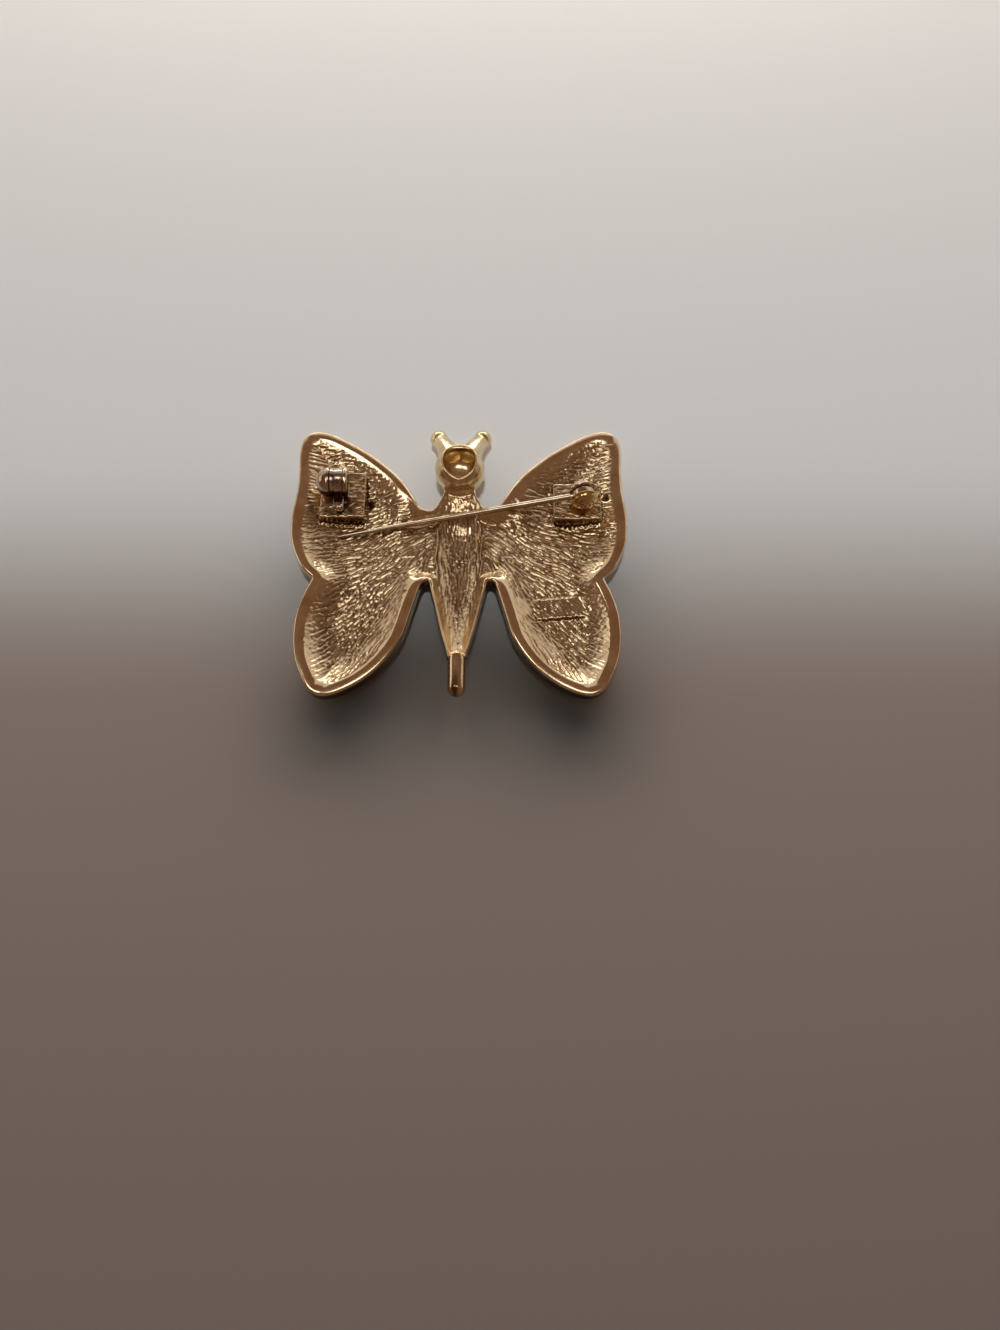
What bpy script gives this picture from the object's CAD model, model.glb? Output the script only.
# %% [markdown]
# # A cast butterfly brooch, seen from its back
# The brooch lies face down with its pin open. This lesson dresses the packed
# solids: the cast butterfly gets its polished rim, its rough hollows and its
# rounded edges, and the hinge, pin and catch get soft edges and a plated skin.
# Everything is worked out in millimetres and turned into metres at the end.

import bmesh
import bpy
import math
import numpy as np
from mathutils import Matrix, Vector
from mathutils.geometry import delaunay_2d_cdt


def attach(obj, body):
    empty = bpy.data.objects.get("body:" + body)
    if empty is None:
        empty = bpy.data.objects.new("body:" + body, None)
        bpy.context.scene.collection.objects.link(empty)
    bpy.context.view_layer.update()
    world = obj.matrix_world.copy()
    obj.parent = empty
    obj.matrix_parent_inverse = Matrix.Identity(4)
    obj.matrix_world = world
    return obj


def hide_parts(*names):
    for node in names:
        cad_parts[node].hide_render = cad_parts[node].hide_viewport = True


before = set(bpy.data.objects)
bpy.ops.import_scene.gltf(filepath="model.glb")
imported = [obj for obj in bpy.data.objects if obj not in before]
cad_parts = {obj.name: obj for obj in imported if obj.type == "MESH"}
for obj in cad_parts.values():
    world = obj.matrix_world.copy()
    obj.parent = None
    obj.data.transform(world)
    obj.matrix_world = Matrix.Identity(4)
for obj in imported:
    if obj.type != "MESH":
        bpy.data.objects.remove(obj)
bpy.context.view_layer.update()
MM = 0.001

# %% [markdown]
# ## Camera
# The photograph looks down at the brooch from the tail's side, 28 degrees off
# the vertical. A wide lens close to the table gives the same spreading of the
# near wings. The camera leans 22.5 degrees and the brooch sits left of and
# above the middle of the picture.

# %% Camera
PICTURE_LONG_SIDE = 1330
FOCAL_PIXELS = 1000
CAMERA_PLACE, CAMERA_LEAN = (0.00556, -0.0652, 0.1213), math.radians(22.5)
camera_data = bpy.data.cameras.new("camera")
camera_data.sensor_width = 36
camera_data.lens = camera_data.sensor_width * FOCAL_PIXELS / PICTURE_LONG_SIDE
camera_data.clip_start = 0.005
camera = bpy.data.objects.new("camera", camera_data)
camera.location = CAMERA_PLACE
camera.rotation_euler = (CAMERA_LEAN, 0, 0)
bpy.context.scene.collection.objects.link(camera)
bpy.context.scene.camera = camera
print("lens", round(camera_data.lens, 2), "mm")

# %% [markdown]
# ## Light
# Polished metal shows its room more than its own colour. The flat rims mirror a
# dim brown room, so they read as brown. Slopes that lean away from the viewer
# mirror a broad pale wall beyond the table and a narrow bright window at its
# foot. A panel and a lamp overhead give the white glints. Each lamp is given by
# its brightness, so that its size can change without its glare.

# %% World and lamps
ROOM_COLOUR = (0.172, 0.098, 0.061, 1)
world = bpy.data.worlds.new("studio")
world.use_nodes = True
world.node_tree.nodes["Background"].inputs["Color"].default_value = ROOM_COLOUR
world.node_tree.nodes["Background"].inputs["Strength"].default_value = 1.0
bpy.context.scene.world = world
world.cycles_visibility.diffuse = False
bpy.context.scene.view_settings.view_transform = "Standard"


def soft_box(name, place, target, size, brightness, colour):
    """A rectangular lamp whose face has the given brightness."""
    lamp = bpy.data.lights.new(name, "AREA")
    lamp.shape = "RECTANGLE"
    lamp.size, lamp.size_y = size
    lamp.energy = brightness * math.pi * size[0] * size[1]
    lamp.color = colour
    holder = bpy.data.objects.new(name, lamp)
    holder.location = place
    aim = Vector(target) - Vector(place)
    holder.rotation_euler = aim.to_track_quat("-Z", "Y").to_euler()
    holder.visible_camera = False
    bpy.context.scene.collection.objects.link(holder)
    return holder


BROOCH_PLACE = (0, 0, 0)
WALL_WHITE, LAMP_WHITE = (1.0, 0.99, 0.95), (1.0, 0.98, 0.93)
soft_box("far_wall", (0.02, 0.22, 0.105), (0, 0, 0.01), (0.80, 0.210), 0.52, WALL_WHITE)
soft_box("far_window", (0.0, 0.20, 0.050), (0, 0, 0.01), (0.22, 0.032), 4.2, WALL_WHITE)
soft_box("left_wall", (-0.50, 0.13, 0.15), BROOCH_PLACE, (0.30, 0.20), 0.9, (1.0, 0.97, 0.90))
soft_box("right_wall", (0.55, 0.10, 0.14), BROOCH_PLACE, (0.30, 0.18), 0.35, (1.0, 0.94, 0.84))
overhead = [
    soft_box("ceiling_panel", (0.05, -0.02, 0.75), BROOCH_PLACE, (0.25, 0.34), 2.4, LAMP_WHITE),
    soft_box("left_lamp", (-0.31, 0.07, 0.72), BROOCH_PLACE, (0.20, 0.22), 3.4, LAMP_WHITE),
]

# %% [markdown]
# Daylight from above falls on the far half of the table and stops in a soft
# line under the brooch. A low warm light grazes the whole table from the far
# side, so the brooch throws a short shadow towards the viewer. Neither of them
# shows in the metal, and the two lamps overhead show there only.

# %% Daylight on the table
DAYLIGHT_EDGE, DAYLIGHT_DEPTH, DAYLIGHT_HEIGHT = 0.000, 0.70, 0.30
DAYLIGHT_SPREAD = math.radians(9)
COOL_WHITE, WARM_WHITE = (0.86, 0.98, 1.02), (1.0, 0.68, 0.55)
middle_y = DAYLIGHT_EDGE + DAYLIGHT_DEPTH / 2
daylight_above = (0, middle_y, DAYLIGHT_HEIGHT)
daylight = soft_box("daylight", daylight_above, (0, middle_y, 0), (1.2, DAYLIGHT_DEPTH), 0.52, COOL_WHITE)
daylight.data.spread = DAYLIGHT_SPREAD
low_light = soft_box("low_light", (0, 0.5, 0.13), BROOCH_PLACE, (0.9, 0.16), 5.8, WARM_WHITE)
for lamp in (daylight, low_light):
    lamp.visible_glossy = False
for lamp in overhead:
    lamp.visible_diffuse = False

# %% [markdown]
# ## Table
# A plain pale surface, marked as stage so that it isn't part of the brooch.

# %% Table
TABLE_HALF = 0.9
table_mesh = bpy.data.meshes.new("table")
table_corners = [(x * TABLE_HALF, y * TABLE_HALF, 0) for x, y in ((-1, -1), (1, -1), (1, 1), (-1, 1))]
table_mesh.from_pydata(table_corners, [], [(0, 1, 2, 3)])
table = bpy.data.objects.new("table", table_mesh)
bpy.context.scene.collection.objects.link(table)
table_skin = bpy.data.materials.new("table")
table_skin.use_nodes = True
table_shader = table_skin.node_tree.nodes["Principled BSDF"]
table_shader.inputs["Base Color"].default_value = (0.65, 0.62, 0.60, 1)
table_shader.inputs["Roughness"].default_value = 0.8
table_mesh.materials.append(table_skin)

# %% [markdown]
# ## Gold plate
# The plate is a real metal surface: a polished part has a low roughness, and
# its tone wanders a little, as worn plate does. A few small helpers build the
# shader trees, so that each finish below is one short line: its bright and its
# dull tone, its lowest and highest roughness, the size of its clouds and how
# deep its scratches look.


# %% Plated metal
def add_node(tree, kind, **values):
    """A new node whose sockets, or else settings, get the given values."""
    node = tree.nodes.new(kind)
    for key, value in values.items():
        if key in node.inputs:
            node.inputs[key].default_value = value
        else:
            setattr(node, key, value)
    return node


def two_tone(tree, share, low_colour, high_colour, low=0.36, high=0.64):
    """Colours between two tones by a share that comes from another node."""
    ramp = add_node(tree, "ShaderNodeValToRGB")
    ramp.color_ramp.elements[0].position = low
    ramp.color_ramp.elements[1].position = high
    ramp.color_ramp.elements[0].color = (*low_colour, 1)
    ramp.color_ramp.elements[1].color = (*high_colour, 1)
    tree.links.new(share, ramp.inputs["Fac"])
    return ramp.outputs["Color"]


def between(tree, value, low, high, to_low, to_high):
    """A value stretched from one range to another."""
    change = add_node(tree, "ShaderNodeMapRange")
    for socket, number in zip(("From Min", "From Max", "To Min", "To Max"), (low, high, to_low, to_high)):
        change.inputs[socket].default_value = number
    tree.links.new(value, change.inputs["Value"])
    return change.outputs["Result"]


def multiplied(tree, one, two):
    """Two colours multiplied. Sockets 6 and 7 of the node are its colours, 2 is their result."""
    mix = add_node(tree, "ShaderNodeMix", data_type="RGBA", blend_type="MULTIPLY")
    mix.inputs[0].default_value = 1.0
    tree.links.new(one, mix.inputs[6])
    tree.links.new(two, mix.inputs[7])
    return mix.outputs[2]


SCRATCH_DEPTH = 0.04 * MM


def plated(name, bright, dull, smooth, rough, scale, bump):
    """Plated metal whose tone and roughness wander, with fine scratches."""
    material = bpy.data.materials.new(name)
    material.use_nodes = True
    tree = material.node_tree
    shader = tree.nodes["Principled BSDF"]
    shader.inputs["Metallic"].default_value = 1.0
    place = add_node(tree, "ShaderNodeTexCoord").outputs["Object"]
    cloud = add_node(tree, "ShaderNodeTexNoise", Scale=scale, Detail=6.0, Roughness=0.6)
    fine = add_node(tree, "ShaderNodeTexNoise", Scale=scale * 14, Detail=3.0)
    tree.links.new(place, cloud.inputs["Vector"])
    tree.links.new(place, fine.inputs["Vector"])
    tone = two_tone(tree, cloud.outputs["Fac"], dull, bright)
    relief = add_node(tree, "ShaderNodeBump", Strength=bump, Distance=SCRATCH_DEPTH)
    tree.links.new(fine.outputs["Fac"], relief.inputs["Height"])
    tree.links.new(tone, shader.inputs["Base Color"])
    tree.links.new(between(tree, fine.outputs["Fac"], 0.3, 0.7, smooth, rough), shader.inputs["Roughness"])
    tree.links.new(relief.outputs["Normal"], shader.inputs["Normal"])
    return material


BRIGHT_GOLD, DULL_GOLD = (0.88, 0.73, 0.50), (0.70, 0.535, 0.34)
head_gold = plated("head_gold", (0.88, 0.735, 0.465), (0.68, 0.53, 0.31), 0.16, 0.26, 350, 0.12)
pale_metal = plated("pale_metal", (0.78, 0.68, 0.52), (0.56, 0.45, 0.31), 0.10, 0.20, 400, 0.12)
worn_gold = plated("worn_gold", (0.90, 0.66, 0.32), (0.50, 0.32, 0.14), 0.10, 0.20, 500, 0.15)
lock_gold = plated("lock_gold", (0.78, 0.66, 0.54), (0.26, 0.18, 0.15), 0.10, 0.20, 300, 0.15)
finding_gold = plated("finding_gold", (0.74, 0.63, 0.48), (0.40, 0.30, 0.20), 0.08, 0.18, 300, 0.15)

# %% [markdown]
# The casting has one metal with two finishes. How rough and how grimy a place
# is comes with the mesh as two attributes, so that both follow the streaks in
# the hollows: grime stays in the low places that polishing never reached.

# %% Cast gold with rough hollows
CLEAN_TONE, GRIME_TONE = (1, 0.98, 0.96), (0.20, 0.135, 0.08)
RIM_ROUGHNESS, HOLLOW_ROUGHNESS = 0.13, 0.21
cast_gold = plated("cast_gold", BRIGHT_GOLD, DULL_GOLD, 0.10, 0.20, 350, 0.12)
cast_tree = cast_gold.node_tree
cast_shader = cast_tree.nodes["Principled BSDF"]
hollow_share = add_node(cast_tree, "ShaderNodeAttribute", attribute_name="hollow_share").outputs["Fac"]
grime_share = add_node(cast_tree, "ShaderNodeAttribute", attribute_name="grime_share").outputs["Fac"]
clean_tone = cast_shader.inputs["Base Color"].links[0].from_socket
grime_tone = two_tone(cast_tree, grime_share, CLEAN_TONE, GRIME_TONE, 0.0, 1.0)
cast_tree.links.new(multiplied(cast_tree, clean_tone, grime_tone), cast_shader.inputs["Base Color"])
cast_roughness = between(cast_tree, hollow_share, 0, 1, RIM_ROUGHNESS, HOLLOW_ROUGHNESS)
cast_tree.links.new(cast_roughness, cast_shader.inputs["Roughness"])
print("materials", [m.name for m in bpy.data.materials])

# %% [markdown]
# ## The butterfly's edge
# The edge is a short table of places, in shares of half the wing span, with a
# smooth curve drawn through them. The same curve runs from the neck round the
# forewing, the waist and the hindwing, and down the abdomen. One side is drawn
# and mirrored, because the model for such a casting was cut symmetrically.

# %% Edge of the casting
HALF_SPAN = 22.85
RIM_HEIGHT = 3.3
NECK_EDGE = [
    (0.013, 0.4364), (0.052, 0.446), (0.080, 0.459), (0.0925, 0.463), (0.0945, 0.450), (0.0965, 0.413),
    (0.107, 0.378), (0.117, 0.357), (0.138, 0.3225), (0.164, 0.297), (0.204, 0.2965), (0.239, 0.319),
]
FOREWING_EDGE = [
    (0.271, 0.375), (0.319, 0.455), (0.394, 0.551), (0.538, 0.679),
    (0.678, 0.772), (0.770, 0.823), (0.845, 0.848), (0.915, 0.846), (0.967, 0.797),
    (0.985, 0.714), (0.980, 0.569), (0.981, 0.446), (0.999, 0.263), (0.999, 0.166),
    (0.987, 0.075), (0.957, -0.013), (0.911, -0.100), (0.849, -0.166),
]
HINDWING_EDGE = [
    (0.849, -0.166), (0.882, -0.241), (0.911, -0.328), (0.928, -0.416), (0.932, -0.520),
    (0.923, -0.617), (0.904, -0.696), (0.873, -0.771), (0.835, -0.846), (0.782, -0.887),
    (0.718, -0.894), (0.639, -0.869), (0.537, -0.811), (0.445, -0.732), (0.370, -0.637),
    (0.319, -0.547), (0.291, -0.464), (0.267, -0.376), (0.243, -0.293), (0.222, -0.222),
]
ABDOMEN_EDGE = [
    (0.203, -0.190), (0.184, -0.180), (0.169, -0.196), (0.160, -0.235), (0.149, -0.275),
    (0.131, -0.350), (0.102, -0.481), (0.079, -0.565), (0.058, -0.640), (0.056, -0.665),
]

# %% [markdown]
# A smooth curve through a few rows is easy to correct: one row moves and the
# curve follows. The line is then cut into even steps, because uneven points
# give long thin triangles later.


# %% Smooth and even lines
def smooth_rows(rows, steps):
    """A smooth curve through the rows, with so many short steps between two rows."""
    p = np.array(rows, float)
    ends = np.vstack([2 * p[0] - p[1], p, 2 * p[-1] - p[-2]])
    t = np.linspace(0, 1, steps, endpoint=False)[:, None]
    made = [
        0.5 * (2 * b + (c - a) * t + (2 * a - 5 * b + 4 * c - d) * t**2 + (3 * b - a - 3 * c + d) * t**3)
        for a, b, c, d in zip(ends, ends[1:], ends[2:], ends[3:])
    ]
    return np.vstack([*made, p[-1:]])


def evenly(line, gap):
    """The same open line with points the given distance apart."""
    run = np.r_[0, np.cumsum(np.hypot(*np.diff(line, axis=0).T))]
    at = np.linspace(0, run[-1], max(2, int(round(run[-1] / gap)) + 1))
    return np.c_[np.interp(at, run, line[:, 0]), np.interp(at, run, line[:, 1])]


EDGE_GAP = 0.15
upper = smooth_rows(NECK_EDGE + FOREWING_EDGE, 14) * HALF_SPAN
lower = smooth_rows(HINDWING_EDGE + ABDOMEN_EDGE, 14) * HALF_SPAN
right_edge = np.vstack([evenly(upper, EDGE_GAP)[:-1], evenly(lower, EDGE_GAP)])
edge = np.vstack([right_edge, right_edge[::-1] * [-1, 1]])
print("edge points", len(edge), "size", np.round(np.ptp(edge, axis=0), 2), "mm")

# %% [markdown]
# ## Heights of the back
# The back is one height for every place in the plan: a rim at one level, a
# slope down from it, a shallow bowl for each wing, and a trough for the body.
# Everything starts from how far a place is from the edge.


# %% Distance to the edge
def distance_to(points, line):
    """Shortest distance from each point to a closed line of short straight pieces."""
    step = np.roll(line, -1, axis=0) - line
    size = (step**2).sum(1)
    best = np.empty(len(points))
    for low in range(0, len(points), 4000):
        p = points[low : low + 4000, None, :]
        t = np.clip(((p - line) * step).sum(2) / size, 0, 1)
        off = p - (line + t[..., None] * step)
        best[low : low + 4000] = np.sqrt((off**2).sum(2).min(1))
    return best


def inside(points):
    """True for each point inside the edge, by counting crossings."""
    a, b = edge, np.roll(edge, -1, axis=0)
    rise = np.where(a[:, 1] == b[:, 1], 1e-12, b[:, 1] - a[:, 1])
    found = np.empty(len(points), bool)
    for low in range(0, len(points), 20000):
        x, y = points[low : low + 20000].T[:, :, None]
        crosses = (a[:, 1] > y) != (b[:, 1] > y)
        at = a[:, 0] + (y - a[:, 1]) / rise * (b[:, 0] - a[:, 0])
        found[low : low + 20000] = (crosses & (x < at)).sum(1) % 2 == 1
    return found


# %% [markdown]
# Soft steps, soft minimum and soft maximum join two shapes with a small
# fillet, as wax and polishing leave on a real casting.


# %% Soft joins
def smooth_step(low, high, value):
    """0 at the low value and 1 at the high one, with a soft start and end."""
    t = np.clip((value - low) / (high - low), 0, 1)
    return t * t * (3 - 2 * t)


def soft_min(a, b, k):
    h = np.clip(0.5 + 0.5 * (b - a) / k, 0, 1)
    return b + (a - b) * h - k * h * (1 - h)


def soft_max(a, b, k):
    return -soft_min(-a, -b, k)


# %% [markdown]
# The rim is wide and flat round the wings and narrows to a thin line along the
# neck and the abdomen. Inside it lie two shallow bowls on each side and one
# deep trough along the body, whose width and floor change along its length.

# %% Rim, bowls and trough
WIDE_RIM, ROOT_RIM, BODY_RIM = 1.35, 0.5, 0.3
WALL = 1.3
DOME_RADIUS, HOLLOW_RADIUS, HIND_HOLLOW_RADIUS = 60.0, 75.0, 42.0
BOWL_BLEND, MIDDLE_SOFTNESS = 1.6, 0.4
FOREWING_MIDDLE = (0.613 * HALF_SPAN, 0.416 * HALF_SPAN)
HINDWING_MIDDLE = (0.582 * HALF_SPAN, -0.481 * HALF_SPAN)
# how far from the body's middle line the rim starts and ends to widen
FORE_WIDENING, HIND_WIDENING = (5.6, 8.8), (4.3, 6.9)
# where the rim is thinnest: from where to where along the body, and out from its middle line
NECK_RANGES, ABDOMEN_RANGES = ((7.0, 7.8), (4.2, 3.4)), ((-4.3, -5.2), (4.3, 3.5))
TROUGH_TOP, TROUGH_STEEPNESS = RIM_HEIGHT + 0.1, 0.25
# rows of the body's trough: place along the body, half width, floor height
TROUGH = np.array([
    (-15.25, 0.95, 3.4), (-14.9, 1.0, 3.0), (-14.4, 1.08, 2.45), (-12.9, 1.52, 2.05), (-11, 2.05, 1.6),
    (-8, 2.7, 1.08), (-6.3, 3.1, 0.95), (-4.1, 3.45, 0.90), (-3, 3.6, 0.86), (-1, 3.8, 0.85), (3, 3.8, 0.85),
    (4, 3.75, 0.95), (5, 3.6, 1.2), (6, 3.3, 1.7), (6.8, 3.0, 2.25), (7.8, 2.5, 2.62), (8.8, 2.0, 2.9),
    (9.6, 1.5, 3.4),
])


def rim_width(x, y):
    """Width of the flat rim that belongs to a place."""
    out = np.abs(x)
    wide = np.where(y > 0, smooth_step(*FORE_WIDENING, out), smooth_step(*HIND_WIDENING, out))
    on_neck, on_abdomen = (
        smooth_step(*along, y) * smooth_step(*across, out)
        for along, across in (NECK_RANGES, ABDOMEN_RANGES)
    )
    narrow = ROOT_RIM + (BODY_RIM - ROOT_RIM) * np.maximum(on_neck, on_abdomen)
    return narrow + (WIDE_RIM - narrow) * wide


def bowl(x, y, fore_radius, hind_radius, bottom):
    """Height of the wings' shallow bowls, whose lowest places are at the bottom's height."""
    out = np.sqrt(x * x + MIDDLE_SOFTNESS)
    bowls = []
    for middle, radius in ((FOREWING_MIDDLE, fore_radius), (HINDWING_MIDDLE, hind_radius)):
        away = (out - middle[0]) ** 2 + (y - middle[1]) ** 2
        reach = radius + (fore_radius - radius) * smooth_step(-3, 3, y - middle[1])
        bowls.append(bottom + reach - np.sqrt(np.maximum(reach**2 - away, 1)))
    return soft_min(*bowls, BOWL_BLEND)


def trough(x, y):
    """Height of the body's trough: a flat floor with sides that grow steep."""
    half_width = np.interp(y, TROUGH[:, 0], TROUGH[:, 1])
    floor = np.interp(y, TROUGH[:, 0], TROUGH[:, 2])
    share = np.abs(x) / half_width
    rise = (1 - TROUGH_STEEPNESS) * share**2 + TROUGH_STEEPNESS * share**5
    return floor + (TROUGH_TOP - floor) * rise


# %% [markdown]
# Two small pits, two rows of solder beads and a plain raised panel also belong
# to the wings' floors. Each is a share from 0 to 1 for every place, so that
# height and grime can both follow it.

# %% Pits, beads and panel
PITS, PIT_RADIUS, PIT_DEPTH = [(-12.6, 8.2), (20.1, 8.8)], 0.42, 0.5
BEAD_GAP, BEAD_RADIUS, BEAD_HEIGHT = 0.62, 0.22, 0.24
BEAD_ROW_AT_CATCH, BEAD_ROW_AT_HINGE, BEAD_ROW_ENDS = 5.2, 4.95, (12.9, 19.2)
PANEL_MIDDLE, PANEL_HALF, PANEL_TURN, PANEL_TOP = (13.6, -7.5), (3.5, 1.5), math.radians(5), 1.74


def pit_share(x, y):
    return sum(np.exp(-((x - px) ** 2 + (y - py) ** 2) / PIT_RADIUS**2) for px, py in PITS)


def solder_beads(x, y):
    """Two short rows of beads that stand before the plates of the hinge and the catch."""
    row = np.where(x < 0, BEAD_ROW_AT_CATCH, BEAD_ROW_AT_HINGE) + 0.07 * np.sin(5 * x)
    nearest = np.round(x / BEAD_GAP) * BEAD_GAP
    on_row = (np.abs(x) > BEAD_ROW_ENDS[0]) & (np.abs(x) < BEAD_ROW_ENDS[1])
    return on_row * np.exp(-((x - nearest) ** 2 + (y - row) ** 2) / BEAD_RADIUS**2)


def panel_share(x, y):
    """1 on the panel and 0 beside it, with a border that the casting left uneven."""
    along = (x - PANEL_MIDDLE[0]) * math.cos(PANEL_TURN) + (y - PANEL_MIDDLE[1]) * math.sin(PANEL_TURN)
    across = (y - PANEL_MIDDLE[1]) * math.cos(PANEL_TURN) - (x - PANEL_MIDDLE[0]) * math.sin(PANEL_TURN)
    beyond = np.maximum(np.abs(along) - PANEL_HALF[0], np.abs(across) - PANEL_HALF[1])
    wobble = 0.08 * np.sin(4.1 * along + 0.6) * np.sin(3.3 * across + 1) + 0.05 * np.sin(9.7 * along)
    return smooth_step(0.15, -0.15, beyond + wobble)


# %% [markdown]
# The forewings' rim rolls softly into the hollow, while the hindwings' rim keeps
# a crisp inner edge above a broad slope. The head's ball grows out of the neck
# with a fillet.

# %% Height of the back at a place
HEAD_MIDDLE = np.array([0, 12.9, 3.5])
HEAD_RADIUS, HEAD_FILLET, HEAD_FILLET_REACH = 3.45, 0.5, 0.6
RIM_CROWN, RIM_ROUNDING, TROUGH_BLEND, NECK_DEPTH = 0.05, 0.34, 0.14, 0.4
NECK_SMOOTHNESS, PANEL_SMOOTHNESS = 0.2, 0.35
# ranges in which one shape turns into the next: hindwing into forewing by place, thin rim
# into wide by width, body into neck by place and distance out, smooth into rough by distance in
TO_FOREWING, TO_WIDE_RIM, TO_ROUGH = (-2.5, 1.0), (0.45, 1.35), (0.0, 0.5)
TO_NECK, NEAR_NECK = (6.2, 7.6), (4.6, 3.2)
# rows: value at the body, added where the rim is wide, added again on the forewings
ROLL, SLOPE, BLEND = (0.16, 0.02, 0.42), (1.15, -0.35, -0.25), (0.35, 1.15, 0.3)


def back_height(points, d):
    """Height of the back without its grain, and how rough each place is, d from the edge."""

    def along_rim(row):
        at_body, on_wings, on_forewings = row
        return at_body + wide * (on_wings + on_forewings * fore)

    x, y = points.T
    w = rim_width(x, y)
    into = d - w
    fore = smooth_step(*TO_FOREWING, y)
    wide = smooth_step(*TO_WIDE_RIM, w)
    roll, slope = along_rim(ROLL), along_rim(SLOPE)
    fall = np.where(into > roll, slope * into, slope * np.clip(into + roll, 0, None) ** 2 / (4 * roll))
    on_neck = smooth_step(*TO_NECK, y) * smooth_step(*NEAR_NECK, np.abs(x))
    ground = bowl(x, y, HOLLOW_RADIUS, HIND_HOLLOW_RADIUS, WALL)
    ground = ground * (1 - on_neck) + (RIM_HEIGHT - NECK_DEPTH) * on_neck
    height = soft_max(ground, RIM_HEIGHT - fall, along_rim(BLEND))
    height = np.minimum(height, RIM_HEIGHT)
    height = soft_min(height, trough(x, y), TROUGH_BLEND)
    crown = RIM_CROWN * np.sin(np.clip(d / w, 0, 1) * math.pi) * (into < 0)
    rounding = np.minimum(RIM_ROUNDING, 0.9 * w)
    left = np.clip(rounding - d, 0, rounding)
    edge_drop = rounding - np.sqrt(rounding**2 - left**2)
    head_gap = np.hypot(x, y - HEAD_MIDDLE[1]) - HEAD_RADIUS
    fillet = HEAD_FILLET * np.clip(1 - head_gap / HEAD_FILLET_REACH, 0, 1) ** 2
    panel = panel_share(x, y)
    height = height + panel * np.clip(PANEL_TOP - height, 0, None)
    height = height - PIT_DEPTH * pit_share(x, y) + BEAD_HEIGHT * solder_beads(x, y)
    hollow = smooth_step(*TO_ROUGH, into)
    hollow = hollow * (1 - NECK_SMOOTHNESS * on_neck) * (1 - PANEL_SMOOTHNESS * panel)
    return height + crown - edge_drop + fillet, hollow


# %% [markdown]
# ## Grain
# The hollows were left rough: short raised streaks fan out from the body, as a
# chisel or a coarse brush leaves in the wax. Speckle smeared along a field of
# directions gives exactly such streaks with an even width. A random pattern
# drawn on a picture would slide, so the smeared speckle becomes real height.

# %% Speckle and directions
GRAIN_PITCH = 0.07
GRAIN_HALF = 23.5
GRAIN_CELLS = int(2 * GRAIN_HALF / GRAIN_PITCH)
# the streaks fan out from two places on the body's line, one for each pair of wings
FAN_HEIGHT, FORE_FAN_BACK, HIND_FAN_OUT = 6.0, 6.0, 1.0
FORE_FAN_TURN, STREAK_WOBBLE = 0.25, 0.22
draws = np.random.default_rng(7)
cell_y, cell_x = np.mgrid[0:GRAIN_CELLS, 0:GRAIN_CELLS] * GRAIN_PITCH - GRAIN_HALF


def blur(field, rounds):
    for _ in range(rounds):
        field = (field + np.roll(field, 1, 0) + np.roll(field, -1, 0)) / 3
        field = (field + np.roll(field, 1, 1) + np.roll(field, -1, 1)) / 3
    return field


def streak_direction(x, y):
    """Unit direction of the streaks: fans that open outwards from the body."""
    side = np.where(x < 0, -1.0, 1.0)
    out = np.abs(x)
    fore = np.arctan2(y - FAN_HEIGHT, out + FORE_FAN_BACK) - FORE_FAN_TURN
    hind = np.arctan2(y - FAN_HEIGHT, out - HIND_FAN_OUT)
    share = smooth_step(3.0, -3.0, y - 0.05 * out)
    wobble = STREAK_WOBBLE * np.sin(0.5 * x + 0.3 * y) * np.cos(0.4 * y - 0.2 * x)
    angle = fore * (1 - share) + hind * share + wobble
    on_body = smooth_step(4.0, 3.2, out)
    angle = angle * (1 - on_body) + (math.pi / 2 + 0.3 * wobble) * on_body
    return side * np.cos(angle), np.sin(angle)


# %% [markdown]
# Smearing means that every cell takes in the speckle a little way before and
# behind it along the streak that runs through it.


# %% Smeared streaks
STREAK_REACH, STREAK_STEPS = 0.52, 6
FINE_BLUR, BROAD_BLUR, LUMP_BLUR, PATCH_BLUR = 2, 12, 9, 60


def sample(field, x, y):
    """Values of a square field of cells at any places."""
    u = np.clip((x + GRAIN_HALF) / GRAIN_PITCH, 0, GRAIN_CELLS - 2)
    v = np.clip((y + GRAIN_HALF) / GRAIN_PITCH, 0, GRAIN_CELLS - 2)
    i, j = u.astype(int), v.astype(int)
    fu, fv = u - i, v - j
    low = field[j, i] * (1 - fu) + field[j, i + 1] * fu
    high = field[j + 1, i] * (1 - fu) + field[j + 1, i + 1] * fu
    return low * (1 - fv) + high * fv


def smear(field, reach, steps):
    """The field summed along the streak through every cell, reach to either side."""
    total = field.copy()
    for way in (-1, 1):
        x, y = cell_x.copy(), cell_y.copy()
        for _ in range(steps):
            dx, dy = streak_direction(x, y)
            x, y = x + way * dx * reach / steps, y + way * dy * reach / steps
            total += sample(field, x, y)
    return total


def evened(field):
    """The field scaled so that its heights spread by one."""
    return field / field.std()


speckle = draws.standard_normal((GRAIN_CELLS, GRAIN_CELLS))
grains = blur(speckle, FINE_BLUR) - blur(speckle, BROAD_BLUR)
streaks = np.tanh(0.8 * evened(smear(grains, STREAK_REACH, STREAK_STEPS)))
lumps = evened(blur(draws.standard_normal((GRAIN_CELLS, GRAIN_CELLS)), LUMP_BLUR))
patches = evened(blur(draws.standard_normal((GRAIN_CELLS, GRAIN_CELLS)), PATCH_BLUR))
print("streaks", streaks.shape, "range", round(float(np.ptp(streaks)), 2))

# %% [markdown]
# ## One skin for the whole casting
# The plan is filled with triangles: rows of points that follow the edge, close
# together over the rounded rim, and an even field of points in the hollows.
# A triangulation that keeps the edge joins them all.

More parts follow.
